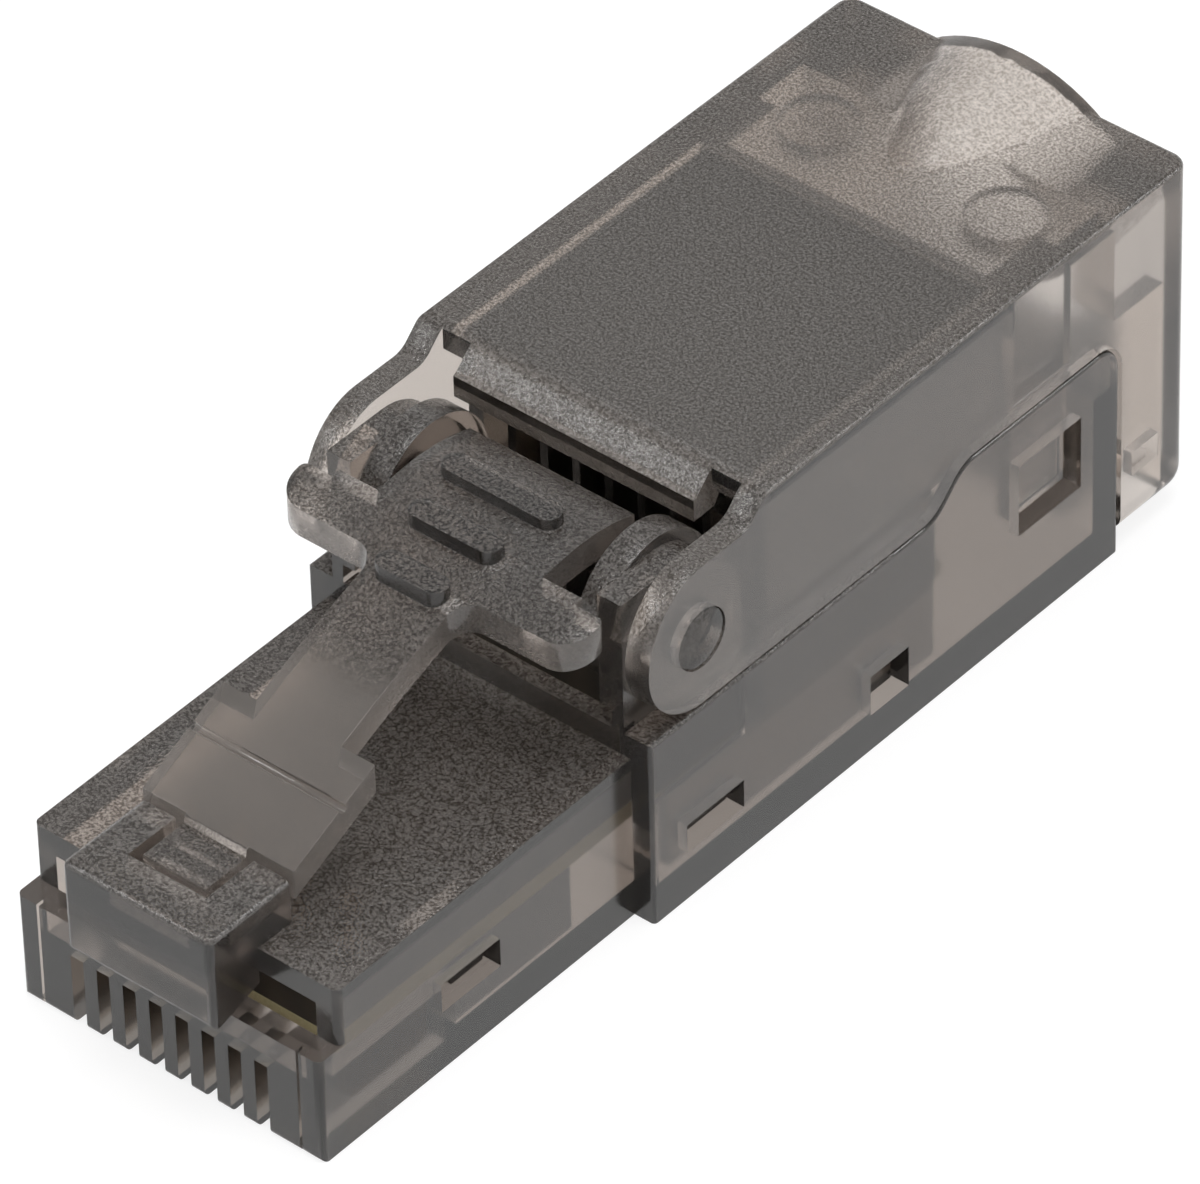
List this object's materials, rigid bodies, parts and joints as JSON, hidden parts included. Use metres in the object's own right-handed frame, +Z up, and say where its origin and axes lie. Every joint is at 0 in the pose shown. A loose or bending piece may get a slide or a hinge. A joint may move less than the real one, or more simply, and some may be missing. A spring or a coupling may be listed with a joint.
{
  "type": "rj45 modular plug",
  "caption": "Unshielded modular plug for field termination, with a hinged cover that snaps shut over the wires, a thumb latch and gold contacts in a slotted nose.",
  "frame": {"origin": "centre of the footprint, on the underside of the plug", "axes": "+Z up, -Y out of the mating face, +Y along the cable, +X to the right seen from the cable side"},
  "size_m": [0.0132, 0.0404, 0.0139],
  "materials": {
    "housing": "smoky translucent polycarbonate, fine spark-eroded texture on top",
    "insert": "smoky translucent polycarbonate",
    "board": "glass-fibre laminate with solder resist",
    "contact_metal": "gold-plated",
    "terminal_metal": "tin-plated"
  },
  "bodies": {
    "body": {"plug_body": "housing", "idc_block": "insert", "circuit_board": "board", "contact_carrier": "insert", "contact_1": "contact_metal", "contact_2": "contact_metal", "contact_3": "contact_metal", "contact_4": "contact_metal", "contact_5": "contact_metal", "contact_6": "contact_metal", "contact_7": "contact_metal", "contact_8": "contact_metal", "idc_terminal_1": "terminal_metal", "idc_terminal_2": "terminal_metal", "idc_terminal_3": "terminal_metal", "idc_terminal_4": "terminal_metal", "idc_terminal_5": "terminal_metal", "idc_terminal_6": "terminal_metal", "idc_terminal_7": "terminal_metal", "idc_terminal_8": "terminal_metal"},
    "latch": {"latch_lever": "housing"},
    "cover": {"hinged_cover": "housing", "wire_manager": "insert"}
  },
  "joints": [
    {"name": "latch_flex", "type": "hinge", "parent": "body", "child": "latch", "pos_m": [0, -0.01755, 0.0068], "axis": [1, 0, 0], "range_deg": [-7, 0], "stiffness_Nm_per_rad": 0.3},
    {"name": "cover_hinge", "type": "hinge", "parent": "body", "child": "cover", "pos_m": [0, -0.0028, 0.00945], "axis": [1, 0, 0], "range_deg": [0, 50]}
  ]
}
